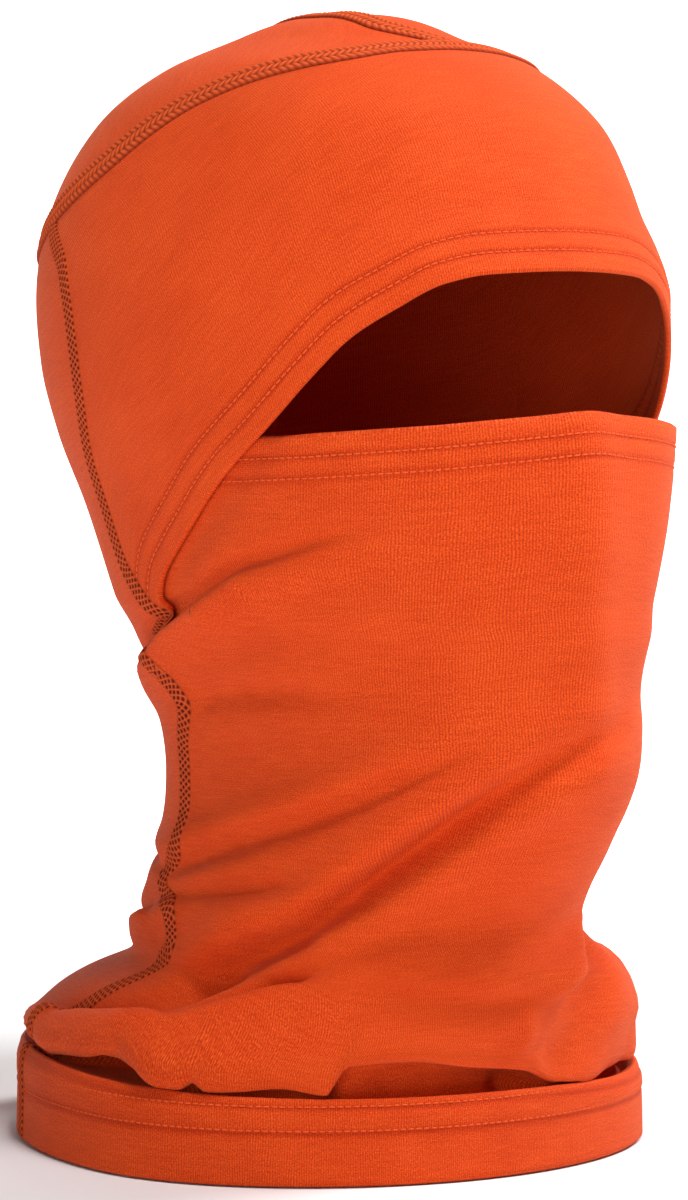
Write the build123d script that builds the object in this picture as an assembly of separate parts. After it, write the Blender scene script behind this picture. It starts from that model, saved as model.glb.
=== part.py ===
from build123d import *
import math
import os

# Balaclava of thin jersey, standing open on its bottom hem.
# Frame: +Z up, the face looks along -Y, the wearer's right is -X.
# The origin is under the middle of the object, at the bottom hem.
# Sizes are in millimetres, angles in degrees.
# theta is the heading round the head: 0 at the face, 90 at the wearer's left ear.

# ---- driving dimensions -------------------------------------------------------
CROWN_HEIGHT = 304.0      # bottom hem to the top of the crown
WIDEST_LEVEL = 226.0      # the dome of the crown starts here
DOME_HEIGHT = CROWN_HEIGHT - WIDEST_LEVEL
CLOTH = 1.2               # one layer of jersey
PANEL_GAP = 0.5           # between two panels, under the seam that joins them
PANEL_REACH = 0.992       # how near a panel's edge comes to its side seam's middle
SEAM_WIDTH = 5.5          # flatlock seam
SEAM_PROUD = 0.35
SEAM_THICKNESS = 1.0
STITCH_WIDTH = 0.9        # one row of needle thread
STITCH_PROUD = 0.25
STITCH_THICKNESS = 0.5
LOOPER_WIDTH = 5.0        # looper thread inside a turned hem
LOOPER_THICKNESS = 0.5
LOOPER_BITE = 0.2         # how deep it lies in the cloth
HEM_ROWS = (5.0, 10.5)    # stitch rows of the brow and mask hems, from the edge
BASE_ROWS = (13.6, 20.0)  # stitch rows of the bottom hem, from the edge
MASK_HEM_HEIGHT = 14.0
NECK_TOP = 100.0          # the cloth above this level gives way when the mask moves
MASK_INSET = 9.0          # the mask's ends run this deep behind the brow panel
TRIM = 3.0                # cut off the bottom edge, to leave it flat


class Curve:
    """A smooth line through (x, y) points that doesn't overshoot them."""

    def __init__(self, *points):
        self.xs = [p[0] for p in points]
        self.ys = [p[1] for p in points]
        steps = [self.slope(i) for i in range(len(points) - 1)]
        self.tangents = [steps[0]]
        for before, after in zip(steps, steps[1:]):
            flat = before * after <= 0
            self.tangents.append(0.0 if flat else 2 * before * after / (before + after))
        self.tangents.append(0.0)

    def slope(self, i):
        return (self.ys[i + 1] - self.ys[i]) / (self.xs[i + 1] - self.xs[i])

    def __call__(self, x):
        x = min(max(x, self.xs[0]), self.xs[-1])
        i = 0
        while i < len(self.xs) - 2 and x > self.xs[i + 1]:
            i += 1
        step = self.xs[i + 1] - self.xs[i]
        t = (x - self.xs[i]) / step
        rise = t * t * (3 - 2 * t)
        start = (t - 2 * t * t + t ** 3) * step * self.tangents[i]
        end = (t ** 3 - t * t) * step * self.tangents[i + 1]
        return self.ys[i] + rise * (self.ys[i + 1] - self.ys[i]) + start + end


def ramp(x, low, high):
    t = min(max((x - low) / (high - low), 0.0), 1.0)
    return t * t * (3 - 2 * t)


# ---- the form: half-ellipse sections, by level --------------------------------
HALF_WIDTH = Curve((0, 83), (18, 84), (30, 78), (42, 64), (58, 55.5), (88, 54),
                   (126, 58), (150, 63), (172, 69), (192, 74), (210, 77), (WIDEST_LEVEL, 77.5))
FRONT_DEPTH = Curve((0, 71), (18, 74), (42, 74), (62, 73), (84, 83), (104, 93),
                    (126, 98), (150, 102), (172, 105), (190, 103.5), (208, 98), (WIDEST_LEVEL, 96))
BACK_DEPTH = Curve((0, 102), (18, 104), (30, 94), (42, 74), (58, 59), (84, 52),
                   (104, 49), (126, 52), (148, 60), (170, 73), (190, 87), (208, 94), (WIDEST_LEVEL, 97))

# levels along a front edge: 0 at the face, 1 at the side seam
BROW_EDGE = Curve((0, 231.5), (0.13, 230.5), (0.2, 228), (0.27, 222), (0.35, 213.5),
                  (0.42, 202.5), (0.5, 189), (0.6, 175.5), (0.73, 162), (1, 144))
MASK_EDGE = Curve((0, 196.5), (0.25, 193), (0.5, 190), (1, 186))
# level of the crown loop seam, by heading; the side seam meets it at the corner
CORNER_HEADING = 122
CORNER_LEVEL = 248
LOOP_LEVEL = Curve((0, 290), (22, 289.5), (50, 286), (78, 277), (105, 260),
                   (CORNER_HEADING, CORNER_LEVEL), (136, 241), (180, 232))

# heading of the side seam, by level
SEAM_HEADING = Curve((0, 110), (25, 104), (45, 92), (75, 94), (110, 90), (140, 91),
                     (160, 104), (185, 108), (212, 104), (232, 109), (CORNER_LEVEL, CORNER_HEADING))


def depths(level):
    """Half-width, front depth and back depth of the form's section at a level."""
    shrink = 1.0
    if level > WIDEST_LEVEL:
        rise = min((level - WIDEST_LEVEL) / DOME_HEIGHT, 0.9999)
        shrink = math.sqrt(1 - rise * rise)
    return [shrink * side(level) for side in (HALF_WIDTH, FRONT_DEPTH, BACK_DEPTH)]


def wall_point(theta, level):
    """The form's outside, at a heading and a level."""
    wide, front, back = depths(level)
    across = math.sin(math.radians(theta))
    along = -math.cos(math.radians(theta))
    deep = front if along < 0 else back
    radius = 1 / math.hypot(across / wide, along / deep)
    return Vector(radius * across, radius * along, level)


def project(point):
    """The nearest place on the form: level with the point, or on the dome out from its centre."""
    if point.Z < WIDEST_LEVEL:
        return wall_point(math.degrees(math.atan2(point.X, -point.Y)), point.Z)
    wide, front, back = depths(WIDEST_LEVEL)
    deep = front if point.Y < 0 else back
    rise = point.Z - WIDEST_LEVEL
    reach = math.hypot(point.X / wide, point.Y / deep, rise / DOME_HEIGHT)
    return Vector(point.X / reach, point.Y / reach, WIDEST_LEVEL + rise / reach)


def outward(point):
    """The form's outward direction at a point on it, from two short steps along it."""
    step = 0.5
    round_it = Vector(-point.Y, point.X, 0).normalized()
    sideways = project(point + round_it * step) - project(point - round_it * step)
    inward = Vector(-point.X, -point.Y, 0).normalized()
    near_the_top = point.Z > CROWN_HEIGHT - 12
    climb = inward * step if near_the_top else Vector(0, 0, step)
    upward = project(point + climb) - project(point - climb)
    return sideways.cross(upward).normalized()


def front_point(u, level, inset=0.0):
    """A point of the front half: u is -1 at the right side seam and 1 at the left one."""
    point = wall_point(u * SEAM_HEADING(level), level)
    return point - outward(point) * inset


def back_point(u, level):
    """A point of the back half: u is -1 at the left side seam and 1 at the right one."""
    return wall_point(180 + u * (180 - SEAM_HEADING(level)), level)


def tuck(u, level):
    """How far the front cloth lies behind the brow panel."""
    return MASK_INSET * ramp(abs(u), 0.28, 0.55) * ramp(level, 118, 150)


def spread(start, end, count):
    return [start + (end - start) * i / (count - 1) for i in range(count)]


def skin(rows):
    """One smooth face through a grid of points."""
    return Shell.make_loft([Wire([Edge.make_spline(row)]) for row in rows]).faces()[0]


def sheet(rows, thickness=CLOTH):
    """A solid sheet under a grid of outside points."""
    outside = skin(rows)
    inside = skin([[point - outward(project(point)) * thickness for point in row] for row in rows])
    rims = [Face.make_surface_from_curves(*pair) for pair in zip(outside.edges(), inside.edges())]
    return Solid(Shell([outside, inside] + rims))


def band(path, width, proud, thickness):
    """A narrow strip along a path on the form, standing proud of it."""
    rows = []
    for i, point in enumerate(path):
        ahead = path[min(i + 1, len(path) - 1)] - path[max(i - 1, 0)]
        up = outward(point)
        side = ahead.cross(up).normalized()
        rows.append([point + up * proud + side * (width * across) for across in (-0.5, 0, 0.5)])
    return sheet(rows, thickness)


def shifted(path, distance):
    """The path moved along the form, to the side that lies up from it."""
    moved = []
    for i, point in enumerate(path):
        ahead = path[min(i + 1, len(path) - 1)] - path[max(i - 1, 0)]
        side = ahead.cross(outward(point)).normalized()
        side = side if side.Z > 0 else side * -1
        moved.append(project(point + side * distance))
    return moved


# ---- panels -------------------------------------------------------------------
def loop_point(theta):
    return wall_point(theta, LOOP_LEVEL(abs(theta)))


def over_the_top(angle):
    """The point of the dome's middle line, at an angle up from the back."""
    direction = Vector(0, math.cos(math.radians(angle)), math.sin(math.radians(angle)))
    return project(Vector(0, 0, WIDEST_LEVEL) + direction * DOME_HEIGHT)


def centre_seam_angles():
    """Where the centre seam leaves the loop seam, at the front and at the back."""
    tips = loop_point(0), loop_point(180)
    return [math.degrees(math.atan2(tip.Z - WIDEST_LEVEL, tip.Y)) for tip in tips]


def crown_panel(side):
    """One half of the crown: from the centre seam to the loop seam. side is -1 at the right."""
    start, end = centre_seam_angles()
    rows = []
    for t in spread(0.04, 0.96, 21):
        middle = over_the_top(start + (end - start) * t)
        rim = loop_point(side * 180 * t)
        across = (rim - middle).normalized() * (PANEL_GAP / 2)
        inner, outer = middle + across, rim - across
        rows.append([project(inner + (outer - inner) * v) for v in spread(0, 1, 9)])
    return sheet(rows)


def brow_panel():
    """Forehead, temples and cheeks, from the brow edge up to the crown loop."""
    rows = []
    for u in spread(-PANEL_REACH, PANEL_REACH, 41):
        top = LOOP_LEVEL(abs(u) * CORNER_HEADING) - PANEL_GAP
        low = BROW_EDGE(abs(u))
        rows.append([front_point(u, level) for level in spread(low, top, 15)])
    return sheet(rows)


def back_panel():
    """The back of the head and neck, from the bottom hem up to the crown loop."""
    rows = []
    for u in spread(-PANEL_REACH, PANEL_REACH, 21):
        top = LOOP_LEVEL(180 - abs(u) * (180 - CORNER_HEADING)) - PANEL_GAP
        rows.append([back_point(u, level) for level in spread(-TRIM, top, 51)])
    return on_the_table(sheet(rows))


def front_cloth(low, high, count, reach=0.985):
    """A stretch of the front cloth between two edges, each a level or a line of levels."""
    rows = []
    for u in spread(-reach, reach, 33):
        levels = spread(low(abs(u)), high(abs(u)), count)
        rows.append([front_point(u, level, tuck(u, level)) for level in levels])
    return sheet(rows)


def neck_panel():
    """The lower front, from the bottom hem up to the level where the mask gives way."""
    return on_the_table(front_cloth(lambda u: -TRIM, lambda u: NECK_TOP, 26))


def mask_panel():
    """The soft front between the neck and the mask's hem."""
    low = NECK_TOP + PANEL_GAP
    return front_cloth(lambda u: low, lambda u: MASK_EDGE(u) - MASK_HEM_HEIGHT - PANEL_GAP, 9)


def mask_hem():
    """The turned hem across the nose, its ends behind the brow panel."""
    return front_cloth(lambda u: MASK_EDGE(u) - MASK_HEM_HEIGHT, MASK_EDGE, 4)


def on_the_table(panel):
    """Cut flat at the bottom, so that the hem stands on one plane."""
    room = 2 * CROWN_HEIGHT
    return panel & (Pos(0, 0, room / 2) * Box(room, room, room))


# ---- seams --------------------------------------------------------------------
def crown_loop_seam():
    """The flatlock seam round the crown. It is one ring, cut at the back of the head."""
    path = [loop_point(theta) for theta in spread(-179.6, 179.6, 61)]
    return band(path, SEAM_WIDTH, SEAM_PROUD, SEAM_THICKNESS)


def crown_centre_seam():
    """The seam over the top of the head, from loop to loop."""
    start, end = centre_seam_angles()
    path = [over_the_top(angle) for angle in spread(start - 2.5, end + 2, 25)]
    return band(path, SEAM_WIDTH, SEAM_PROUD, SEAM_THICKNESS)


def side_seam(side):
    """The seam from the crown loop down to the bottom hem. side is -1 at the right."""
    path = [front_point(side, level) for level in spread(1.0, CORNER_LEVEL - 4, 31)]
    return band(path, SEAM_WIDTH, SEAM_PROUD, SEAM_THICKNESS)


# ---- hem threads --------------------------------------------------------------
def brow_edge_path():
    return [front_point(u, BROW_EDGE(abs(u))) for u in spread(-0.93, 0.93, 41)]


def mask_edge_path():
    path = []
    for u in spread(-0.96, 0.96, 31):
        level = MASK_EDGE(abs(u))
        path.append(front_point(u, level, tuck(u, level)))
    return path


def bottom_row_path(height):
    """A whole turn round the bottom hem, cut at the back."""
    return [wall_point(theta, height) for theta in spread(-179.6, 179.6, 49)]


def stitch_row(path):
    return band(path, STITCH_WIDTH, STITCH_PROUD, STITCH_THICKNESS)


def looper_thread(path):
    """The thread that covers the raw edge inside a hem, under both needle rows."""
    return band(path, LOOPER_WIDTH, LOOPER_BITE - CLOTH, LOOPER_THICKNESS)


def lowered(path, distance):
    return [point - Vector(0, 0, distance) for point in path]


def build():
    brow = brow_edge_path()
    mask = mask_edge_path()
    middle = sum(HEM_ROWS) / 2
    return {
        "crown_panel_right": crown_panel(-1),
        "crown_panel_left": crown_panel(1),
        "brow_panel": brow_panel(),
        "back_panel": back_panel(),
        "neck_panel": neck_panel(),
        "mask_panel": mask_panel(),
        "mask_hem": mask_hem(),
        "crown_loop_seam": crown_loop_seam(),
        "crown_centre_seam": crown_centre_seam(),
        "side_seam_right": side_seam(-1),
        "side_seam_left": side_seam(1),
        "brow_hem_stitch_lower": stitch_row(shifted(brow, HEM_ROWS[0])),
        "brow_hem_stitch_upper": stitch_row(shifted(brow, HEM_ROWS[1])),
        "brow_hem_looper_thread": looper_thread(shifted(brow, middle)),
        "mask_hem_stitch_upper": stitch_row(lowered(mask, HEM_ROWS[0])),
        "mask_hem_stitch_lower": stitch_row(lowered(mask, HEM_ROWS[1])),
        "mask_hem_looper_thread": looper_thread(lowered(mask, middle)),
        "bottom_hem_stitch_lower": stitch_row(bottom_row_path(BASE_ROWS[0])),
        "bottom_hem_stitch_upper": stitch_row(bottom_row_path(BASE_ROWS[1])),
        "bottom_hem_looper_thread": looper_thread(bottom_row_path(sum(BASE_ROWS) / 2)),
    }


def centred(solids):
    """Every solid moved together, so that the whole stands over the origin."""
    boxes = [solid.bounding_box() for solid in solids.values()]
    front, back = min(box.min.Y for box in boxes), max(box.max.Y for box in boxes)
    offset = Pos(0, -(front + back) / 2, 0)
    print("moved by", offset.position)
    return {name: solid.moved(offset) for name, solid in solids.items()}


os.makedirs("parts", exist_ok=True)
for node, solid in centred(build()).items():
    export_step(solid, f"parts/{node}.step")
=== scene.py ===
import bpy
import math
import numpy as np
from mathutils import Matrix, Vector


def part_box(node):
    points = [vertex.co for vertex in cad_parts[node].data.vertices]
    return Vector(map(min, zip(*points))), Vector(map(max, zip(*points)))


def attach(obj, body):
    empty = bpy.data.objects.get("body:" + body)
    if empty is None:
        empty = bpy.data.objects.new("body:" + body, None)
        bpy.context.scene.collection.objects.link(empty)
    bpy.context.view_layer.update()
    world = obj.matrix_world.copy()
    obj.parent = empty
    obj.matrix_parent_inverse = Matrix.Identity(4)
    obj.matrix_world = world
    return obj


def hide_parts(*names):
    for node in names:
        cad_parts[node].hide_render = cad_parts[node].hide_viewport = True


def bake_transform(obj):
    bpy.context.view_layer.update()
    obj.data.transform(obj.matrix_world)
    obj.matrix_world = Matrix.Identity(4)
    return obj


# Balaclava in rust-orange jersey, standing on its bottom hem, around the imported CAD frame.
# Lengths are in millimetres until a mesh is made; MM turns them into Blender's metres.
# theta is the heading round the head in degrees: 0 at the face, 90 at the wearer's left ear.
# s is the place up the cloth from the bottom edge, in millimetres.

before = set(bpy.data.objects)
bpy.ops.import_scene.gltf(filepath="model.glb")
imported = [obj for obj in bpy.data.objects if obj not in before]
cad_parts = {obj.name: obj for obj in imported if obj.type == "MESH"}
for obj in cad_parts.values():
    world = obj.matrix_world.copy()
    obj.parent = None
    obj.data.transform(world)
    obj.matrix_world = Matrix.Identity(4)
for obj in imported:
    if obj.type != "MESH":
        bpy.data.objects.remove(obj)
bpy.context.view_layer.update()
MM = 0.001


# ---- curves -------------------------------------------------------------------
def curve(*points):
    """A smooth line through (x, y) points that doesn't overshoot them, for arrays of x."""
    xs, ys = np.array(points, float).T
    steps = np.diff(ys) / np.diff(xs)
    tangents = np.zeros(len(xs))
    same_way = steps[:-1] * steps[1:] > 0
    product = 2 * steps[:-1] * steps[1:]
    tangents[1:-1] = np.where(same_way, product / np.where(same_way, steps[:-1] + steps[1:], 1), 0)

    def at(x):
        x = np.clip(x, xs[0], xs[-1])
        return hermite(x, xs, ys, tangents)
    return at


def hermite(x, xs, ys, tangents):
    """Cubic interpolation; ys and tangents hold one value a knot, or one row a knot."""
    i = np.clip(np.searchsorted(xs, x, side="right") - 1, 0, len(xs) - 2)
    step = xs[i + 1] - xs[i]
    t = (x - xs[i]) / step
    pick = (lambda a, k: a[k]) if np.ndim(ys) == 1 else (lambda a, k: np.take_along_axis(a, k[None], 0)[0])
    rise = t * t * (3 - 2 * t)
    start = (t - 2 * t * t + t ** 3) * step
    end = (t ** 3 - t * t) * step
    return (pick(ys, i) * (1 - rise) + pick(ys, i + 1) * rise
            + start * pick(tangents, i) + end * pick(tangents, i + 1))


def ramp(x, low, high):
    t = np.clip((x - low) / (high - low), 0, 1)
    return t * t * (3 - 2 * t)


def bump(x, width):
    return np.exp(-(x / width) ** 2)


# ---- the worn shape -----------------------------------------------------------
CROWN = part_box("crown_panel_right")[1][2] / MM
WIDEST = 226.0                      # the dome of the crown starts here
DOME = CROWN - WIDEST
SLACK = 7.0                         # cloth that the tuck above the hem takes up
HEM_RING = (83.5, 72.5, 103.0)      # half-width, front and back depth of the bottom hem
TUCK_FADE, TUCK_TOP = 44.0, 60.0    # the tuck gives way to the neck between these, by s

HALF_WIDTH = curve((30, 80), (42, 70), (52, 60), (62, 56), (88, 54.5), (126, 57), (148, 63.5),
                   (172, 69), (192, 74), (210, 77), (WIDEST, 77.5))
FRONT_DEPTH = curve((30, 74), (42, 74), (62, 73), (84, 84), (104, 94), (126, 97), (148, 102),
                    (172, 105), (190, 104), (208, 99), (WIDEST, 97))
BACK_DEPTH = curve((30, 96), (42, 78), (54, 62), (66, 55), (84, 52), (104, 49), (126, 51),
                   (148, 62), (170, 74), (190, 87), (208, 94), (WIDEST, 97))

# headings of the side seams, by s, counted away from the face
RIGHT_SEAM = curve((0, 124), (28, 124), (38, 120), (46, 115), (52, 106), (58, 99), (64, 92), (69, 91.5),
                   (72, 94), (77, 102), (80.5, 104), (84, 101), (89, 97), (96, 95.5), (115, 95.5),
                   (127, 92), (131, 94), (134, 98), (138, 102), (142, 100), (146, 93), (149, 90.5),
                   (155, 95), (163, 101), (174, 104), (190, 106), (212, 104), (229, 106), (241, 110),
                   (255, 122))
LEFT_SEAM = curve((0, 121), (28, 121), (46, 113), (62, 101), (80, 97), (110, 96), (135, 95), (150, 97),
                  (170, 103), (212, 105), (236, 109), (255, 122))
CORNER_HEADING = 122.0
# levels, by u: 0 at the face, 1 at the side seam
BROW_EDGE = curve((0, 233.5), (0.13, 232.5), (0.2, 230), (0.27, 224), (0.35, 216),
                  (0.42, 205.5), (0.5, 192), (0.6, 179), (0.73, 164.5), (0.9, 150), (1, 142))
MASK_EDGE = curve((0, 196.5), (0.25, 193), (0.5, 190), (1, 186))
# how far the crown is drawn in below a true dome, by height in it, at the forehead and behind
DENT_FRONT = curve((0, 0), (0.09, 0.012), (0.17, 0.028), (0.31, 0.05), (0.42, 0.044), (0.62, 0.022),
                   (0.8, 0.028), (0.92, 0.05), (1, 0.024))
DENT_BACK = curve((0, 0), (0.6, 0), (0.8, 0.02), (0.92, 0.04), (1, 0.024))
# how far the worn cloth has slid towards the wearer's left front, by level
SLIDE = curve((24, 0), (30, 1), (37, 4.6), (48, 5.6), (56, 1), (63, -1), (72, 1), (84, 2.8),
              (94, 4), (105, 4.4), (115, 3.8), (124, 2.4), (138, 1.8), (148, 0))
SLIDE_HEADING = 53.5
LOOP_LEVEL = curve((0, 294.5), (20, 293.5), (36, 291), (52, 288.5), (67, 285), (81, 279.5), (93, 271.5),
                   (106, 261), (CORNER_HEADING, 249.5), (136, 241.5), (180, 232))

# the tuck above the bottom hem, by theta
RIM = curve((-180, 25), (-125, 26), (-60, 23), (0, 22), (50, 20), (110, 22), (180, 25))
POCKET = curve((-180, 8), (-118, 9), (-108, 24), (-84, 30), (-76, 6), (-71, 5), (-67, 14), (-63, 6),
               (-56, 11), (-44, 11), (-38, 7), (-25, 10), (0, 12), (8, 15), (16, 6), (26, 6), (36, 14),
               (48, 13), (58, 6), (110, 7), (150, 9), (180, 8))
LIP_RISE = curve((-180, 2), (-119, 3.5), (-113, 1.5), (-107, 2.5), (-96, 4.5), (-86, 6.5),
                 (-80.5, 4.5), (-74, 0.3), (-70, 0.3), (-67, 2.6),
                 (-64, 0.4), (-58, 0.9), (-50, 2), (-41, 0.6), (-37.5, 8), (-25, 9), (-12, 7),
                 (4, 4.8), (14, 0.8), (26, 0.6), (36, 1.8), (46, 2), (56, 1), (120, 2), (180, 2))
LIP_INSET = curve((-180, 4), (-118, 2), (-106, 3), (-86, 3.5), (-76, 2), (-58, 1.5), (-48, 2),
                  (-40, 1), (-25, 1.2), (15, 1), (36, 4), (46, 4), (56, 2), (120, 3), (180, 4))


def ellipse(theta, wide, front, back):
    """Radius of a section made of two half-ellipses."""
    across = np.sin(np.radians(theta))
    along = -np.cos(np.radians(theta))
    return 1 / np.hypot(across / wide, along / np.where(along < 0, front, back))


def low_cloth(theta, s):
    """Radius and level of the hem band, the tuck behind its rim and the roll above."""
    rim, rise = RIM(theta), LIP_RISE(theta)
    pocket, lip = POCKET(theta), LIP_INSET(theta)
    one = np.ones_like(theta)
    knots = np.array([0, 11, 20, 23, 25.5, 29, 32.5, 36, 38.5, 41, 46, 52, TUCK_TOP])
    levels = np.stack([0.8 * one, 11 * one, rim - 2.2, rim, rim - 0.8, rim - 4, rim + rise / 2 - 1,
                       rim + rise + 1.6, rim + rise - 0.1, rim + rise + 1.2, rim + 0.7 * rise + 8,
                       44.5 + 0.15 * rise, 53 * one])
    insets = np.stack([0 * one, 0.2 * one, 0.6 * one, 1.8 * one, 3.6 * one, pocket, 1.25 * pocket,
                       (pocket + lip) / 2 + 1.5, lip + 1.6, lip, 0.6 * lip + 1.0, 9 * one, 20 * one])
    radius = ellipse(theta, *HEM_RING) - hermite(s, knots, insets, slopes(knots, insets))
    return radius, hermite(s, knots, levels, slopes(knots, levels))


def slopes(knots, values):
    return np.gradient(values, knots, axis=0)


def seam_heading(side, s):
    """Heading of the side seam, counted away from the face, on the right if side is below 0."""
    return np.where(np.asarray(side) < 0, RIGHT_SEAM(s), LEFT_SEAM(s))


def base_point(theta, s):
    """The cloth without its folds, as points (..., 3)."""
    level = s - SLACK
    over = np.clip((level - WIDEST) / DOME, 0, 1)
    grow = np.sqrt(np.clip(1 - over ** 2, 1e-4, 1)) * (1 - dent(theta, over))
    high = ellipse(theta, HALF_WIDTH(level), FRONT_DEPTH(level), BACK_DEPTH(level)) * grow
    low, low_level = low_cloth(theta, np.minimum(s, TUCK_TOP))
    share = ramp(s, TUCK_FADE, TUCK_TOP)
    radius = low + (high - low) * share
    level = low_level + (level - low_level) * share - dent(theta, over) * DOME * over
    turn, slide = np.radians(theta), math.radians(SLIDE_HEADING)
    across = radius * np.sin(turn) + SLIDE(level) * math.sin(slide)
    along = -radius * np.cos(turn) - SLIDE(level) * math.cos(slide)
    return np.stack([across, along, level], -1)


def dent(theta, over):
    """Share by which the crown is drawn in, at a height in the dome from 0 to 1."""
    share = 1 - ramp(np.abs(theta), 70, 125)
    return DENT_BACK(over) + (DENT_FRONT(over) - DENT_BACK(over)) * share


# ---- folds --------------------------------------------------------------------
ARC = 62.0      # radius that turns a heading into a distance round the cloth

# Each fold: its line as (theta, s, strength) points, then in mm: how far its near side stands
# out, how deep its valley is, how far its far side stands out, its width, and how far the near
# side leans over the valley. The far side is on the right hand of someone walking along the line.
FOLDS = [
    # the gaiter folded up over the ends of the hood, both cheeks
    ([(-28, 176, 0), (-40, 172, 0.35), (-50, 167, 0.6), (-60, 163, 0.8), (-74, 154, 1), (-89, 148, 1),
      (-100, 142, 1), (-113, 137, 0.9), (-126, 132, 0.5), (-145, 127, 0)], 4.0, 3.5, 0.3, 6.0, 5.0),
    ([(145, 127, 0), (126, 132, 0.5), (110, 138, 0.9), (90, 147, 0.9), (74, 154, 0.8), (60, 162, 0.4),
      (45, 168, 0)], 4.0, 3.5, 0.3, 6.0, 5.0),
    # soft wave under it
    ([(-30, 131, 0), (-54, 132, 0.8), (-66, 131, 1), (-82, 129, 1), (-94, 126, 0)], 0.5, 2.0, 0.8, 6, 0),
    # upper valley, cheek to nape
    ([(-6, 127, 0), (-14, 121, 0.4), (-25, 113, 0.9), (-37, 105, 1), (-51, 98, 1), (-69, 92, 1),
      (-91, 85, 0.9), (-108, 80, 0.3), (-120, 77, 0)], 1.4, 3.0, 2.0, 6.0, 0.5),
    # short valley at the seam
    ([(-26, 91, 0), (-42, 84, 0.5), (-60, 80, 0.9), (-81, 78, 1), (-97, 76, 1), (-112, 73, 0.8),
      (-130, 68, 0.3), (-150, 64, 0)], 1.0, 2.0, 0.8, 5.0, 1.5),
    # long deep valley, nose to shoulder
    ([(12, 125, 0), (1, 121, 0.4), (-9, 113, 0.75), (-17, 103, 1), (-25, 93, 1.1), (-35, 81, 1.2),
      (-47, 69.5, 1.3), (-65, 62, 1.2), (-81, 54, 0.8), (-91, 50, 0.4), (-104, 47, 0)],
     2.4, 6.4, 3.2, 7.0, 0.8),
    # the roll below it, folded up over its end
    ([(-18, 73, 0), (-33, 65.5, 0.3), (-50, 57, 0.8), (-66, 50.5, 1), (-78, 47.5, 1),
      (-90, 46.5, 1), (-103, 46.5, 1), (-123, 46, 0.7), (-145, 46, 0)], 4.2, 3.2, 0, 5.0, 5.0),
    # tucks at the nape, right side
    ([(-98, 86, 0), (-107, 83, 0.7), (-120, 84, 1), (-140, 88, 0.5), (-158, 90, 0)], 0.5, 1.8, 0.9, 4, 1),
    ([(-100, 69, 0), (-111, 71, 0.8), (-122, 69, 1), (-140, 64, 0.6), (-160, 60, 0)], 2, 2.4, 0, 4.5, 2),
    # crest and hollow beside the chest, left front
    ([(2, 40, 0), (4, 47, 0.7), (12, 51, 1), (25, 61, 1), (34.5, 66.5, 0.8), (40, 76, 0)],
     2.2, 1.2, 0, 5.0, 0),
    ([(12, 38, 0), (12, 44, 0.8), (18, 49, 1), (28, 57, 1), (36, 64, 0.8), (42, 76, 0)],
     0, 4.5, 1.2, 10.0, 0),
    # ridge that the nose lifts
    ([(3, 100, 0), (2, 125, 0.6), (0, 150, 0.9), (-1, 180, 1), (-1, 210, 1)], -0.4, -2.0, -0.8, 9.0, 0),
    # the wearer's left side and the nape
    ([(152, 80, 0), (120, 86, 0.8), (92, 92, 1), (66, 103, 0.9), (44, 116, 0)], 1.2, 2.2, 1.2, 8.0, 0),
    ([(150, 56, 0), (118, 52, 0.9), (92, 53, 1), (70, 58, 0.9), (50, 70, 0)], 3.0, 3.0, 0.6, 6.0, 3.5),
    ([(-128, 106, 0), (-150, 100, 0.8), (180, 103, 1), (150, 99, 0.7), (130, 106, 0)], 1, 1.8, 1, 8, 0),
    ([(-132, 76, 0), (-155, 71, 0.9), (176, 74, 1), (150, 70, 0.8), (128, 74, 0)], 1.4, 2.2, 0.8, 6, 1.5),
]


def wrap(theta):
    return (theta + 180) % 360 - 180


def along_line(theta, s, line):
    """Signed distance from a line in the cloth, its strength there and the way to its far side."""
    heading, up, strength = np.array(line, float).T
    best = np.full(theta.shape, 1e9)
    signed, power, side_x, side_y = (np.zeros(theta.shape) for _ in range(4))
    for i in range(len(heading) - 1):
        dx, dy = ARC * math.radians(wrap(heading[i + 1] - heading[i])), up[i + 1] - up[i]
        length = math.hypot(dx, dy)
        x, y = ARC * np.radians(wrap(theta - heading[i])), s - up[i]
        t = np.clip((x * dx + y * dy) / length ** 2, 0, 1)
        off_x, off_y = x - t * dx, y - t * dy
        distance = np.hypot(off_x, off_y)
        nearer = distance < best
        best = np.where(nearer, distance, best)
        signed = np.where(nearer, np.sign(off_x * dy - off_y * dx) * distance, signed)
        power = np.where(nearer, strength[i] + t * (strength[i + 1] - strength[i]), power)
        side_x = np.where(nearer, dy / length, side_x)
        side_y = np.where(nearer, -dx / length, side_y)
    return signed, power, side_x, side_y


def fold_moves(theta, s):
    """What all the folds do to the cloth: how far out, sideways and up it moves."""
    out, sideways, up = (np.zeros(theta.shape) for _ in range(3))
    for line, near, deep, far, width, lean in FOLDS:
        signed, power, side_x, side_y = along_line(theta, s, line)
        lip = power * bump(signed + 0.95 * width, 0.8 * width)
        out += near * lip - power * deep * bump(signed, 0.6 * width)
        out += power * far * bump(signed - 1.1 * width, 0.85 * width)
        sideways += lean * lip * side_x
        up += lean * lip * side_y
    return out, sideways, up


def unevenness(theta, s):
    """The slight waviness of worn cloth, less on the tight crown than on the loose neck."""
    a, b = np.radians(theta), s / 30
    slow = np.sin(2 * a + 1.3 * b) + np.sin(5 * a - 0.9 * b + 2) * 0.6 + np.sin(3 * a + 2.4 * b + 4) * 0.5
    return slow * (0.12 + 0.28 * (1 - ramp(s, 120, 170)) * ramp(s, 40, 70))


def surface(theta, s):
    """Points of the folded cloth's outside."""
    theta, s = np.broadcast_arrays(wrap(np.asarray(theta, float)), np.asarray(s, float))
    out, sideways, up = fold_moves(theta, s)
    return raised(theta + np.degrees(sideways / ARC), s + up, out + unevenness(theta, s))


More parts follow.
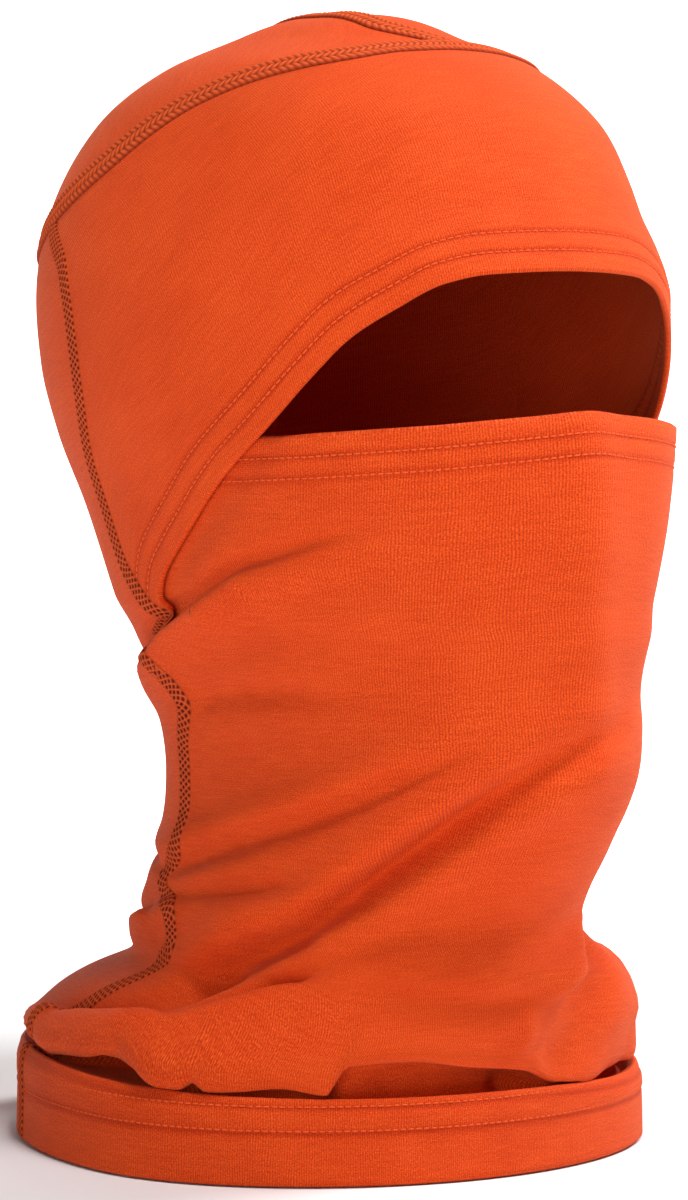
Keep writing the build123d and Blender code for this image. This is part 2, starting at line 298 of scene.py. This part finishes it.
def raised(theta, s, out):
    """Points at a distance out from the cloth without its folds."""
    step = 0.4
    around = base_point(wrap(theta + step), s) - base_point(wrap(theta - step), s)
    upward = base_point(wrap(theta), s + step) - base_point(wrap(theta), np.maximum(s - step, 0))
    return base_point(wrap(theta), s) + unit(np.cross(around, upward)) * out[..., None]


def unit(vectors):
    return vectors / np.maximum(np.linalg.norm(vectors, axis=-1, keepdims=True), 1e-9)


HEM_TUCK, END_TUCK = 2.2, 4.5    # how deep the front cloth lies behind the brow hem, and beyond it


def tuck(u, s):
    """How deep the front cloth lies: behind the brow hem, and deeper where the mask's ends turn."""
    past = s - BROW_EDGE(np.abs(u)) - SLACK
    return HEM_TUCK * ramp(past, -16, 0) + END_TUCK * ramp(past, 4, 32)


def front_surface(theta, s):
    """The outside of the front cloth, which passes behind the brow hem."""
    normal = axes(surface, theta, s)[2]
    return surface(theta, s) - normal * tuck(theta / seam_heading(theta, s), s)[..., None]


def crown_surface(x, angle):
    """The hood's outside by the distance left and the angle over the head, from face to back."""
    turn = np.radians(angle)
    over = np.stack([x / DOME + 0 * turn, -np.cos(turn), np.sin(turn) + 0 * x], -1)
    return onto_dome(over * DOME + (0, 0, WIDEST))


def onto_dome(points):
    """Points moved out from the dome's centre on to the hood's outside."""
    x, y, z = points[..., 0], points[..., 1], points[..., 2] - WIDEST
    deep = np.where(y < 0, FRONT_DEPTH(WIDEST), BACK_DEPTH(WIDEST))
    reach = np.sqrt((x / HALF_WIDTH(WIDEST)) ** 2 + (y / deep) ** 2 + (z / DOME) ** 2)
    heading = np.degrees(np.arctan2(x, -y))
    over = np.clip(z / DOME / reach, 0, 1)
    reach = reach / (1 - dent(heading, over))
    on = np.stack([x / reach, y / reach, WIDEST + z / reach], -1)
    away = unit(on - np.array([0, 0, WIDEST]))
    return on + away * unevenness(heading, on[..., 2] + SLACK)[..., None]


def axes(shape, a, b):
    """How a surface's point moves with each of its two coordinates, and its outward normal."""
    step = 0.3
    along_a = (shape(a + step, b) - shape(a - step, b)) / (2 * step)
    along_b = (shape(a, b + step) - shape(a, b - step)) / (2 * step)
    return along_a, along_b, unit(np.cross(along_a, along_b))


# ---- lines in the cloth ---------------------------------------------------------
class Line:
    """A line in a surface, with even steps along it."""

    def __init__(self, shape, a, b, step):
        rough = shape(a, b)
        run = np.concatenate([[0], np.cumsum(np.linalg.norm(np.diff(rough, axis=0), axis=1))])
        self.length = run[-1]
        self.at = np.linspace(0, self.length, max(int(self.length / step), 2) + 1)
        self.shape = shape
        self.a, self.b = np.interp(self.at, run, a), np.interp(self.at, run, b)
        self.ahead = unit(np.gradient(shape(self.a, self.b), axis=0))

    def moved(self, distance):
        """Coordinates of this line moved in the cloth, towards the left hand of a walk along it."""
        a, b = self.a, self.b
        steps = int(np.max(np.abs(distance)) / 0.8) + 1
        for _ in range(steps):
            a, b = self.step_aside(a, b, distance / steps)
        return a, b

    def step_aside(self, a, b, distance):
        along_a, along_b, normal = axes(self.shape, a, b)
        side = np.cross(normal, self.ahead)
        aa, ab, bb = dot(along_a, along_a), dot(along_a, along_b), dot(along_b, along_b)
        side_a, side_b = dot(side, along_a), dot(side, along_b)
        scale = distance / np.maximum(aa * bb - ab * ab, 1e-6)
        return a + (side_a * bb - side_b * ab) * scale, b + (side_b * aa - side_a * ab) * scale

    def fan(self, width, count):
        """Coordinates of evenly spaced copies of this line over a width, from right to left."""
        step = width / (count - 1)
        left, right = [(self.a, self.b)], [(self.a, self.b)]
        for _ in range(count // 2):
            left.append(self.step_aside(*left[-1], step))
            right.append(self.step_aside(*right[-1], -step))
        return (np.stack([pair[k] for pair in right[:0:-1] + left], 1) for k in (0, 1))

    def beside(self, distance, step):
        """Another line at a distance in the cloth from this one."""
        return Line(self.shape, *self.moved(distance), step)


def dot(first, second):
    return (first * second).sum(-1)


def distance_to(points, line):
    """Distance of each point from a line's points."""
    flat = points.reshape(-1, 3)
    mark = line.shape(line.a, line.b)
    nearest = [np.sqrt(((part[:, None] - mark[None]) ** 2).sum(-1).min(1))
               for part in np.array_split(flat, max(len(flat) // 2000, 1))]
    return np.concatenate(nearest).reshape(points.shape[:-1])


# ---- meshes -------------------------------------------------------------------
SINGLE = 0.85         # one layer of jersey
TURNED = 1.75         # a hem's two layers
CROWN_WIDTH = 7.8     # the crown's flatlock seams
SIDE_WIDTH = 6.2      # the side seams
SEAM_SINK = 0.35      # how deep a seam strip sits in the cloth
LOOPER_DEPTH = 1.9    # how far the looper threads lie behind the cloth's outside


def make_object(name, points, faces, uv=None, attributes=()):
    mesh = bpy.data.meshes.new(name)
    mesh.from_pydata((np.asarray(points) * MM).tolist(), [], faces)
    mesh.polygons.foreach_set("use_smooth", np.ones(len(mesh.polygons), bool))
    if uv is not None:
        corners = np.zeros(len(mesh.loops), np.int32)
        mesh.loops.foreach_get("vertex_index", corners)
        layer = mesh.uv_layers.new(name="cloth")
        layer.data.foreach_set("uv", np.asarray(uv, np.float32)[corners].ravel())
    for label, values in attributes:
        mesh.attributes.new(label, "FLOAT", "POINT").data.foreach_set(
            "value", np.asarray(values, np.float32))
    piece = bpy.data.objects.new(name, mesh)
    bpy.context.scene.collection.objects.link(piece)
    return piece


def grid_normals(points):
    return unit(np.cross(np.gradient(points, axis=0), np.gradient(points, axis=1)))


def solid_sheet(name, outer, inner, uv, attributes):
    """A closed sheet between two grids of points, its rim half-round."""
    rows, columns = outer.shape[:2]
    right, top = columns - 1, rows - 1
    ring = [(i, 0) for i in range(rows)] + [(top, j) for j in range(1, columns)]
    ring += [(i, right) for i in range(rows - 2, -1, -1)] + [(0, j) for j in range(columns - 2, 0, -1)]
    at = tuple(np.array(ring).T)
    through = outer[at] - inner[at]
    ahead = unit(np.roll(outer[at], -1, 0) - np.roll(outer[at], 1, 0))
    middle = (outer[at] + inner[at]) / 2 + np.cross(ahead, through) * 0.4
    count = rows * columns
    points = np.concatenate([outer.reshape(-1, 3), inner.reshape(-1, 3), middle])
    index = np.arange(count).reshape(rows, columns)
    quads = np.stack([index[:-1, :-1], index[1:, :-1], index[1:, 1:], index[:-1, 1:]], -1).reshape(-1, 4)
    edge, rim = index[at], np.arange(len(ring)) + 2 * count
    next_edge, next_rim = np.roll(edge, -1), np.roll(rim, -1)
    faces = quads.tolist() + (quads[:, ::-1] + count).tolist()
    faces += np.stack([next_edge, edge, rim, next_rim], -1).tolist()
    faces += np.stack([next_rim, rim, edge + count, next_edge + count], -1).tolist()
    spread = np.concatenate([uv.reshape(-1, 2)] * 2 + [uv[at]])
    values = [(label, np.concatenate([v.ravel()] * 2 + [v[at]])) for label, v in attributes]
    return make_object(name, points, faces, spread, values)


def hem_thickness(edge, depth):
    """Two layers near a turned edge, one beyond the hem."""
    return SINGLE + (TURNED - SINGLE) * (1 - ramp(edge, depth - 0.8, depth + 0.8))


def stitch_groove(edge, rows):
    """How deep the stitch rows pull the cloth in."""
    return sum(0.3 * bump(edge - row, 0.8) for row in rows)


def cloth_piece(name, outer, thickness, uv, edge, rows=()):
    """A panel of jersey under its outside points; edge is the distance from a hem's edge."""
    groove_and_shade = stitch_groove(edge, rows) + 0 * edge
    outer = outer - grid_normals(outer) * groove_and_shade[..., None]
    inner = outer - grid_normals(outer) * (thickness - groove_and_shade)[..., None]
    # the groove depth is also stored on the mesh, and the jersey paints shade along the grooves from it
    return solid_sheet(name, outer, inner, uv, [("groove_and_shade", groove_and_shade)])


def seam_strip(name, line, width, relief, across):
    """A raised strip along a line; relief gives its height and its painted shade by (along, across) the
    strip.
    """
    sides = np.linspace(-width / 2, width / 2, across)
    a, b = line.fan(width, across)
    base = line.shape(a, b)
    normal = axes(line.shape, a, b)[2]
    along = np.repeat(line.at[:, None], across, 1)
    height, shade = relief(along, np.repeat(sides[None], len(line.at), 0))
    uv = np.stack([along, sides + 0 * along], -1) * MM
    outer, inner = base + normal * height[..., None], base - normal * SEAM_SINK
    return solid_sheet(name, outer, inner, uv, [("groove_and_shade", shade)])


def rope_seam(along, across):
    """Flatlock of the crown: three rows of plump slanting stitches, with painted shade between the rows
    and between the stitches.
    """
    pitch, spacing = 1.9, CROWN_WIDTH / 3.05
    row = np.round(np.clip(across / spacing, -1, 1))
    off = across / spacing - row
    lobe = np.sqrt(np.clip(1 - (off / 0.54) ** 2, 0, 1))
    turn = along / pitch + off * np.where(row == 0, -1.0, 1.0)
    stitch = np.abs(np.sin(math.pi * turn))
    height = 0.2 + lobe * (0.35 + 0.4 * stitch)
    return height, 0.85 - lobe * stitch


def laced_seam(along, across):
    """Flatlock of the sides: threads that cross each other in small diamonds, with painted shade in the
    diamonds.
    """
    pitch, spread, half = 1.9, 2.8, SIDE_WIDTH / 2
    one, other = (np.abs(np.sin(math.pi * (along / pitch + k * across / spread))) for k in (1, -1))
    stitch = np.maximum(one, other) ** 4
    flank = np.clip((half - np.abs(across)) / 0.5, 0, 1)
    return 0.05 + flank * (0.2 + 0.35 * stitch), 0.3 + flank * (0.9 - 1.2 * stitch)


def capsules(name, starts, ends, lifts, radius):
    """Short round-ended stitches from starts to ends, bowed outwards by lifts."""
    stations = np.array([0.0, 0.12, 0.5, 0.88, 1.0])
    girth = np.array([0.25, 0.8, 1.0, 0.8, 0.25]) * radius
    bow = np.array([-0.6, 0.1, 0.5, 0.1, -0.6]) * radius
    ahead = unit(ends - starts)
    side = unit(np.cross(ahead, lifts))
    centre = starts[:, None] + (ends - starts)[:, None] * stations[:, None] + lifts[:, None] * bow[:, None]
    turn = np.linspace(0, 2 * math.pi, 6, endpoint=False)
    spoke = side[:, None] * np.cos(turn)[:, None] + lifts[:, None] * np.sin(turn)[:, None]
    points = centre[:, :, None] + spoke[:, None] * girth[:, None, None]
    count, rings, sides = points.shape[:3]
    index = np.arange(count * rings * sides).reshape(count, rings, sides)
    after = np.roll(index, -1, 2)
    quads = np.stack([index[:, :-1], index[:, 1:], after[:, 1:], after[:, :-1]], -1).reshape(-1, 4)
    caps = np.concatenate([index[:, 0], index[:, -1, ::-1]])
    return make_object(name, points.reshape(-1, 3), quads.tolist() + caps.tolist())


def stitch_row(name, line, pitch=2.1, radius=0.24, sink=0.25):
    """Needle thread along a hem: one short stitch after another."""
    start = np.arange(0.3, line.length - pitch, pitch)
    first, last = spot(line, start), spot(line, start + pitch * 0.82)
    normal = spot_normal(line, start + pitch / 2)
    inward = -normal * sink
    return capsules(name, first + inward, last + inward, normal, radius)


def looper_row(name, line, apart, depth, pitch=2.35, radius=0.2):
    """Looper thread inside a hem, from one stitch row to the other and back."""
    low, high = line.beside(-apart / 2, 1.0), line.beside(apart / 2, 1.0)
    share = np.arange(0.0, 1.0, pitch / line.length)
    first, last = spot(low, share * low.length), spot(high, share * high.length)
    normal = spot_normal(line, share * line.length)
    inward = -normal * depth
    return capsules(name, (first + inward)[:-1], (last + inward)[1:], -normal[:-1], radius)


def spot(line, along):
    return line.shape(np.interp(along, line.at, line.a), np.interp(along, line.at, line.b))


def spot_normal(line, along):
    return axes(line.shape, np.interp(along, line.at, line.a), np.interp(along, line.at, line.b))[2]


# ---- panels -------------------------------------------------------------------
HEM_DEPTH = 12.5          # brow and mask hems
BASE_HEM_DEPTH = 22.0     # bottom hem
BROW_ROWS = (5.0, 10.5)
BASE_ROWS = (13.6, 20.0)
PANEL_GAP = 0.4           # between a panel and the loop seam's line
FAR = 99.0                # an edge distance that means no hem
KNIT_RADIUS = 82.0        # where the neck's wales are neither stretched nor crowded


def upright_uv(theta, points):
    """Place in the knit of cloth whose wales run straight up the wearer."""
    height = travel(points, 1).mean(0)
    return np.stack([KNIT_RADIUS * np.radians(theta), height + 0 * theta], -1) * MM


def measured_uv(points):
    """Place of each point in the knit, by distances over the cloth from the panel's middle line."""
    across = travel(points, 0)
    middle = across[len(across) // 2]
    return np.stack([across - middle, travel(points, 1)], -1) * MM


def travel(points, axis):
    """Distance gone over a grid of points along one of its axes."""
    gone = np.cumsum(np.linalg.norm(np.diff(points, axis=axis), axis=-1), axis=axis)
    return np.concatenate([np.zeros_like(gone.take([0], axis)), gone], axis)


def brow_edge_line():
    u = np.linspace(-1, 1, 241)
    s = BROW_EDGE(np.abs(u)) + SLACK
    return Line(surface, u * seam_heading(u, s), s, 1.0)


def mask_edge_line():
    u = np.linspace(1, -1, 241)
    s = MASK_EDGE(np.abs(u)) + SLACK
    return Line(front_surface, u * seam_heading(u, s), s, 1.0)


def base_line(row):
    theta = np.linspace(-180, 180, 361)
    return Line(surface, theta, row + 0 * theta, 0.5)


def loop_line():
    theta = np.linspace(-180, 180, 721)
    return Line(surface, theta, LOOP_LEVEL(np.abs(theta)) + SLACK, 0.3)


def side_line(side):
    s = np.linspace(1.0, LOOP_LEVEL(CORNER_HEADING) + SLACK - 2.0, 400)
    return Line(surface, side * seam_heading(side, s), s, 0.3)


def brow_cloth():
    """Forehead, temples and cheeks, over the mask."""
    u, v = np.meshgrid(np.linspace(-1, 1, 361), np.linspace(0, 1, 121) ** 1.35, indexing="ij")
    low = BROW_EDGE(np.abs(u)) + SLACK
    high = LOOP_LEVEL(np.abs(u) * CORNER_HEADING) + SLACK - PANEL_GAP
    s = low + (high - low) * v
    theta = u * seam_heading(u, s)
    outer = surface(theta, s)
    edge = distance_to(outer, brow_edge_line())
    piece = cloth_piece("brow_cloth", outer, hem_thickness(edge, HEM_DEPTH),
                        measured_uv(outer), edge, BROW_ROWS)
    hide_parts("brow_panel")
    return piece


def back_cloth():
    """Back of the head and neck, down to the bottom hem."""
    w, v = np.meshgrid(np.linspace(-1, 1, 211), np.linspace(0, 1, 231), indexing="ij")
    heading = 180 + w * (180 - CORNER_HEADING)
    high = LOOP_LEVEL(np.abs(wrap(heading))) + SLACK - PANEL_GAP
    s = high * v
    theta = 180 + w * (180 - seam_heading(-w, s))
    outer = surface(theta, s)
    piece = cloth_piece("back_cloth", outer, hem_thickness(s, BASE_HEM_DEPTH),
                        upright_uv(theta, outer), s, BASE_ROWS)
    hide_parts("back_panel")
    return piece


def front_cloth():
    """Mask, neck and the front of the bottom hem, one piece across the mask's hinge."""
    u, v = np.meshgrid(np.linspace(-1, 1, 301), np.linspace(0, 1, 161), indexing="ij")
    high = MASK_EDGE(np.abs(u)) + SLACK
    s = high * v
    theta = u * seam_heading(u, s)
    outer = front_surface(theta, s)
    top = distance_to(outer, mask_edge_line())
    thickness = np.maximum(hem_thickness(s, BASE_HEM_DEPTH), hem_thickness(top, HEM_DEPTH))
    edge = np.where(s < TUCK_TOP, s, top + TUCK_TOP)
    rows = BASE_ROWS + tuple(row + TUCK_TOP for row in BROW_ROWS)
    piece = cloth_piece("front_cloth", outer, thickness, upright_uv(theta, outer), edge, rows)
    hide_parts("neck_panel", "mask_panel", "mask_hem")
    return piece


def crown_cloth(side, name, node):
    """One half of the crown, from the centre seam to the loop seam."""
    t, v = np.meshgrid(np.linspace(0.004, 0.996, 161), np.linspace(0, 1, 61), indexing="ij")
    rim = surface(side * 180 * t, LOOP_LEVEL(180 * t) + SLACK)
    start, end = crown_ends()
    over = start + (end - start) * t
    middle = crown_surface(centre_x(over), over)
    outer = onto_dome(middle + (rim - middle) * v[..., None])
    if side > 0:
        outer = outer[:, ::-1]
    piece = cloth_piece(name, outer, SINGLE + 0 * t, measured_uv(outer)[..., ::-1], FAR + 0 * t)
    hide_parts(node)
    return piece


def crown_ends():
    """Angles over the head of the crown's two ends on the loop seam."""
    front, back = LOOP_LEVEL(0.0) - WIDEST, LOOP_LEVEL(180.0) - WIDEST
    start = surface(np.array([0.0]), np.array([LOOP_LEVEL(0.0) + SLACK]))[0]
    end = surface(np.array([180.0]), np.array([LOOP_LEVEL(180.0) + SLACK]))[0]
    return math.degrees(math.atan2(front, -start[1])), math.degrees(math.atan2(back, -end[1]))


def centre_line():
    start, end = crown_ends()
    angle = np.linspace(start + 1.5, end - 1.5, 400)
    return Line(crown_surface, centre_x(angle), angle, 0.3)


def centre_x(angle):
    """How far the crown's centre seam sits to the wearer's right, by the angle over the head."""
    return -9 * ramp(angle, 58, 72) * (1 - ramp(angle, 95, 130))


def seams():
    """The four flatlock seams."""
    loop = seam_strip("crown_loop", loop_line(), CROWN_WIDTH, rope_seam, 25)
    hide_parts("crown_loop_seam")
    centre = seam_strip("crown_centre", centre_line(), CROWN_WIDTH, rope_seam, 25)
    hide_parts("crown_centre_seam")
    pieces = [loop, centre]
    for side, name in ((-1, "right"), (1, "left")):
        strip = seam_strip("side_seam_strip_" + name, side_line(side), SIDE_WIDTH, laced_seam, 29)
        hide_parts("side_seam_" + name)
        pieces.append(strip)
    return pieces


def hem_threads(edge, label, rows):
    """Both needle threads of a hem and the looper thread behind them."""
    pieces = []
    ends = ("upper", "lower") if label == "mask" else ("lower", "upper")
    for row, end in zip(rows, ends):
        thread = stitch_row(label + "_needle_" + end, edge.beside(row, 0.5))
        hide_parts(label + "_hem_stitch_" + end)
        pieces.append(thread)
    middle = edge.beside((rows[0] + rows[1]) / 2, 1.0)
    looper = looper_row(label + "_looper", middle, rows[1] - rows[0], LOOPER_DEPTH)
    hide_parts(label + "_hem_looper_thread")
    pieces.append(looper)
    return pieces


# ---- materials ----------------------------------------------------------------
class Nodes:
    """Short names for building one material's node tree."""

    def __init__(self, name):
        self.material = bpy.data.materials.new(name)
        self.material.use_nodes = True
        self.tree = self.material.node_tree
        self.shader = self.tree.nodes["Principled BSDF"]

    def add(self, kind, **values):
        node = self.tree.nodes.new(kind)
        for key, value in values.items():
            if hasattr(node, key):
                setattr(node, key, value)
            else:
                node.inputs[key.replace("_", " ").title()].default_value = value
        return node

    def math(self, operation, *terms):
        node = self.add("ShaderNodeMath", operation=operation)
        for socket, term in zip(node.inputs, terms):
            self.feed(socket, term)
        return node.outputs[0]

    def total(self, *terms):
        """Sum of (factor, term) pairs."""
        result = 0.0
        for factor, term in terms:
            result = self.math("MULTIPLY_ADD", term, factor, result)
        return result

    def feed(self, socket, term):
        if isinstance(term, bpy.types.NodeSocket):
            self.tree.links.new(term, socket)
        else:
            socket.default_value = term

    def mix(self, share, first, second):
        node = self.add("ShaderNodeMix", data_type="RGBA")
        self.feed(node.inputs[0], share)
        self.feed(node.inputs[6], first)
        self.feed(node.inputs[7], second)
        return node.outputs[2]

    def attribute(self, name):
        return self.add("ShaderNodeAttribute", attribute_name=name).outputs["Fac"]

    def relief(self, height, strength, distance):
        node = self.add("ShaderNodeBump", strength=strength, distance=distance)
        self.feed(node.inputs["Height"], height)
        self.feed(self.shader.inputs["Normal"], node.outputs[0])

    def set(self, **sockets):
        for name, value in sockets.items():
            self.shader.inputs[name.replace("_", " ")].default_value = value


JERSEY = (0.69, 0.050, 0.006, 1)
# the jersey's darker colour serves both its random heather and the painted shade in the stitch grooves
JERSEY_DARK_AND_GROOVE_SHADE = (0.40, 0.020, 0.003, 1)
JERSEY_PALE = (0.92, 0.15, 0.026, 1)
# the seam thread's second colour is painted shade, for the gaps between its stitches and rows
SEAM_THREAD, SEAM_GAP_SHADE = (0.72, 0.10, 0.022, 1), (0.15, 0.008, 0.002, 1)
HEM_THREAD, HEM_GAP = (0.80, 0.11, 0.024, 1), (0.45, 0.04, 0.010, 1)
SHEEN = (1.0, 0.50, 0.26, 1)
GLOSS = (1.0, 0.62, 0.25, 1)
WALE = 0.65      # mm between the knit's upright ribs
COURSE = 0.52    # mm between its rows


def jersey():
    """Fine jersey: upright wales, heathered rows, and painted shade darkening the cloth in the hem's
    stitch grooves.
    """
    n = Nodes("jersey")
    split = n.add("ShaderNodeSeparateXYZ")
    n.feed(split.inputs[0], n.add("ShaderNodeUVMap", uv_map="cloth").outputs[0])
    across = n.math("MULTIPLY", split.outputs[0], 1 / MM)
    along = n.math("MULTIPLY", split.outputs[1], 1 / MM)
    drift = streaks(n, across, along, 0.12, 0.05, 2.0)
    warped = n.math("MULTIPLY_ADD", drift, 1.6, across)
    wales = n.math("ABSOLUTE", n.math("SINE", n.math("MULTIPLY", warped, math.pi / WALE)))
    rows = n.math("SINE", n.math("MULTIPLY", along, 2 * math.pi / COURSE))
    grain = streaks(n, across, along, 2.2, 2.6, 2.0)
    heather = streaks(n, across, along, 0.10, 1.0, 4.0)
    cloudy = streaks(n, across, along, 0.03, 0.04, 2.0)
    groove_and_shade = n.attribute("groove_and_shade")
    n.relief(n.total((0.5, wales), (0.15, rows), (1.3, grain)), 0.6, 0.00018)
    # painted shade: the stitch grooves' depth darkens the colour, on top of the random heather and grain
    tone_and_groove_shade = n.total((0.7, heather), (2.6, grain), (0.4, cloudy), (-0.8, wales), (2.4, groove_and_shade))
    share = n.math("SUBTRACT", tone_and_groove_shade, 1.34)
    deep = n.mix(share, JERSEY, JERSEY_DARK_AND_GROOVE_SHADE)
    n.feed(n.shader.inputs["Base Color"], n.mix(n.math("MULTIPLY", share, -0.9), deep, JERSEY_PALE))
    n.set(Roughness=0.85, Specular_IOR_Level=0.4, Specular_Tint=GLOSS)
    n.set(Sheen_Weight=0.12, Sheen_Roughness=0.4, Sheen_Tint=SHEEN)
    return n.material


def streaks(n, across, along, scale_across, scale_along, detail):
    """Noise stretched over the cloth; the scales are in features a millimetre."""
    spot_node = n.add("ShaderNodeCombineXYZ")
    n.feed(spot_node.inputs[0], n.math("MULTIPLY", across, scale_across))
    n.feed(spot_node.inputs[1], n.math("MULTIPLY", along, scale_along))
    noise = n.add("ShaderNodeTexNoise", noise_dimensions="2D", scale=1.0, detail=detail, roughness=0.6)
    n.feed(noise.inputs["Vector"], spot_node.outputs[0])
    return noise.outputs[0]


def thread(name, colour, dark):
    """Sewing thread, with painted shade in the gaps between its stitches where its mesh carries a shade
    value, and darker at random.
    """
    n = Nodes(name)
    noise = n.add("ShaderNodeTexNoise", scale=1100.0, detail=3.0)
    share = n.math("SUBTRACT", n.total((1.1, n.attribute("groove_and_shade")), (0.4, noise.outputs[0])), 0.2)
    n.feed(n.shader.inputs["Base Color"], n.mix(share, colour, dark))
    n.relief(noise.outputs[0], 0.4, 0.0001)
    n.set(Roughness=0.85, Specular_IOR_Level=0.12)
    return n.material


# ---- the studio ---------------------------------------------------------------
YAW, RISE = -36.5, 3.0          # the camera's heading and height angle, degrees
DISTANCE = 1250.0
FRAME_HEIGHT = 323.4            # what the frame takes in at the object
TARGET = Vector((0.87, 3.36, 145.5))
LIT_POINT = Vector((0, 0, 0.17))    # where the lights aim, in metres
WALL_DISTANCE, WALL_HEIGHT = 3.2, 1.2
FADE_REACH = 2.2                # the floor's glow is full at this many clear radii


def camera():
    data = bpy.data.cameras.new("camera")
    view = bpy.data.objects.new("camera", data)
    bpy.context.scene.collection.objects.link(view)
    yaw, rise = math.radians(YAW), math.radians(RISE)
    back = Vector((math.sin(yaw) * math.cos(rise), -math.cos(yaw) * math.cos(rise), math.sin(rise)))
    view.location = (TARGET + back * DISTANCE) * MM
    view.rotation_euler = (-back).to_track_quat("-Z", "Y").to_euler()
    data.lens = data.sensor_width * DISTANCE / FRAME_HEIGHT
    bpy.context.scene.camera = view


def area_light(name, place, size, power):
    data = bpy.data.lights.new(name, "AREA")
    data.size, data.energy = size, power
    light = bpy.data.objects.new(name, data)
    bpy.context.scene.collection.objects.link(light)
    light.location = place
    light.rotation_euler = (LIT_POINT - Vector(place)).to_track_quat("-Z", "Y").to_euler()


def plane(name, size, place, turn, glow, clear=None):
    """A flat pale stage piece that glows, all over or only beyond a clear radius round its middle."""
    bpy.ops.mesh.primitive_plane_add(size=size, location=place, rotation=turn)
    piece = bpy.context.object
    piece.name = name
    n = Nodes(name)
    n.set(Base_Color=(0.88, 0.88, 0.88, 1), Roughness=0.9, Specular_IOR_Level=0.1)
    n.set(Emission_Color=(1, 1, 1, 1), Emission_Strength=glow)
    if clear:
        away = n.add("ShaderNodeVectorMath", operation="LENGTH")
        n.feed(away.inputs[0], n.add("ShaderNodeTexCoord").outputs["Object"])
        fade = n.add("ShaderNodeMapRange", interpolation_type="SMOOTHSTEP")
        n.feed(fade.inputs["Value"], away.outputs["Value"])
        n.feed(fade.inputs["From Min"], clear)
        n.feed(fade.inputs["From Max"], clear * FADE_REACH)
        n.feed(fade.inputs["To Max"], glow)
        n.feed(n.shader.inputs["Emission Strength"], fade.outputs[0])
    piece.data.materials.append(n.material)


def studio():
    plane("floor", 9.0, (0, 0, -0.0002), (0, 0, 0), 0.9, 0.25)
    yaw = math.radians(YAW)
    wall = (-WALL_DISTANCE * math.sin(yaw), WALL_DISTANCE * math.cos(yaw), WALL_HEIGHT)
    plane("backdrop", 3.6, wall, (math.pi / 2, 0, yaw), 0.9)
    white_world(0.07)
    bpy.context.scene.view_settings.view_transform = "Standard"
    area_light("key", (-0.1, -0.6, 1.75), 0.4, 22)
    area_light("right", (1.2, -0.55, 1.5), 0.5, 30)
    area_light("left", (-1.3, -1.0, 0.2), 0.7, 8)


def white_world(power):
    """White all round the stage, lighting it with only a little power."""
    world = bpy.data.worlds.new("studio")
    world.use_nodes = True
    nodes, links = world.node_tree.nodes, world.node_tree.links
    background = nodes["Background"]
    background.inputs["Color"].default_value = (1, 1, 1, 1)
    strength = nodes.new("ShaderNodeMapRange")
    strength.inputs["To Min"].default_value = power
    links.new(nodes.new("ShaderNodeLightPath").outputs["Is Camera Ray"], strength.inputs["Value"])
    links.new(strength.outputs[0], background.inputs["Strength"])
    bpy.context.scene.world = world


def dress(pieces, material):
    for piece in pieces:
        piece.data.materials.append(material)


def build():
    """Every piece of the balaclava with its material, hiding the CAD node each replaces; the hood's pieces
    hang on the hood's body.
    """
    hood = [brow_cloth(), back_cloth(), crown_cloth(1, "crown_cloth_left", "crown_panel_left"),
            crown_cloth(-1, "crown_cloth_right", "crown_panel_right")]
    front = front_cloth()
    strips = seams()
    brow_threads = hem_threads(brow_edge_line(), "brow", BROW_ROWS)
    base_threads = hem_threads(base_line(0.0), "bottom", BASE_ROWS)
    mask_threads = hem_threads(mask_edge_line(), "mask", BROW_ROWS)
    dress(hood + [front], jersey())
    dress(strips, thread("seam_thread", SEAM_THREAD, SEAM_GAP_SHADE))
    dress(brow_threads + base_threads + mask_threads, thread("hem_thread", HEM_THREAD, HEM_GAP))
    for piece in hood + strips + brow_threads + base_threads:
        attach(piece, "hood")
    for piece in [front] + mask_threads:
        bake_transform(piece)


build()
camera()
studio()
